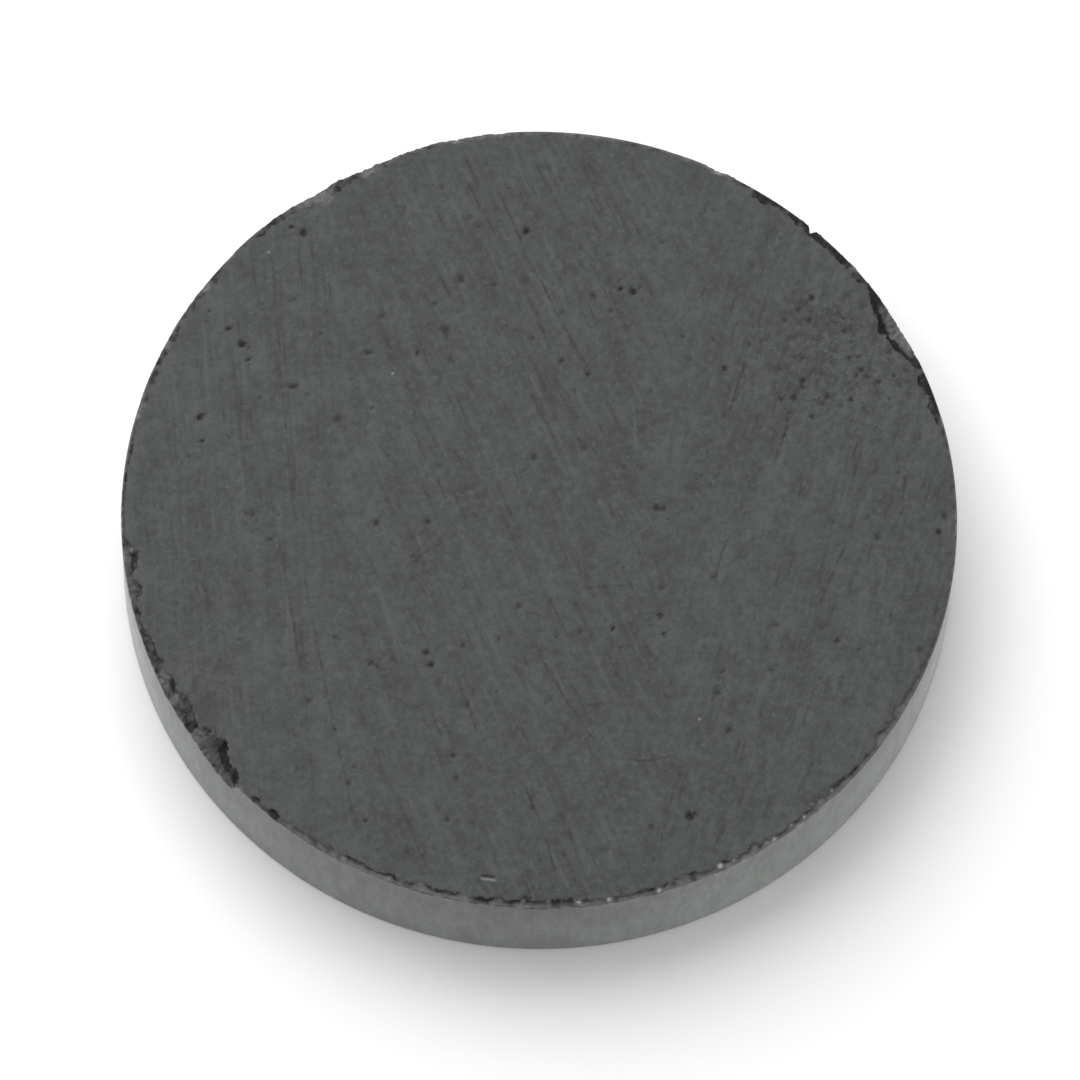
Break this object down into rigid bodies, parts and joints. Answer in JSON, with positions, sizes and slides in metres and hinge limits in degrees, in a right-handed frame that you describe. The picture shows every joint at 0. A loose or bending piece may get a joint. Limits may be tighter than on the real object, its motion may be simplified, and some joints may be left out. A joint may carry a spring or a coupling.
{
  "type": "disc magnet",
  "caption": "Flat round ferrite disc magnet with ground pole faces, a smooth wall and a chipped upper rim, for holding or latching against steel.",
  "frame": {"origin": "centre of the lower pole face", "axes": "+Z along the magnet's axis, up through the pole face with the chipped rim"},
  "size_m": [0.02, 0.02, 0.003],
  "materials": {
    "ferrite": "matte"
  },
  "bodies": {
    "root": {"magnet": "ferrite"}
  },
  "joints": []
}
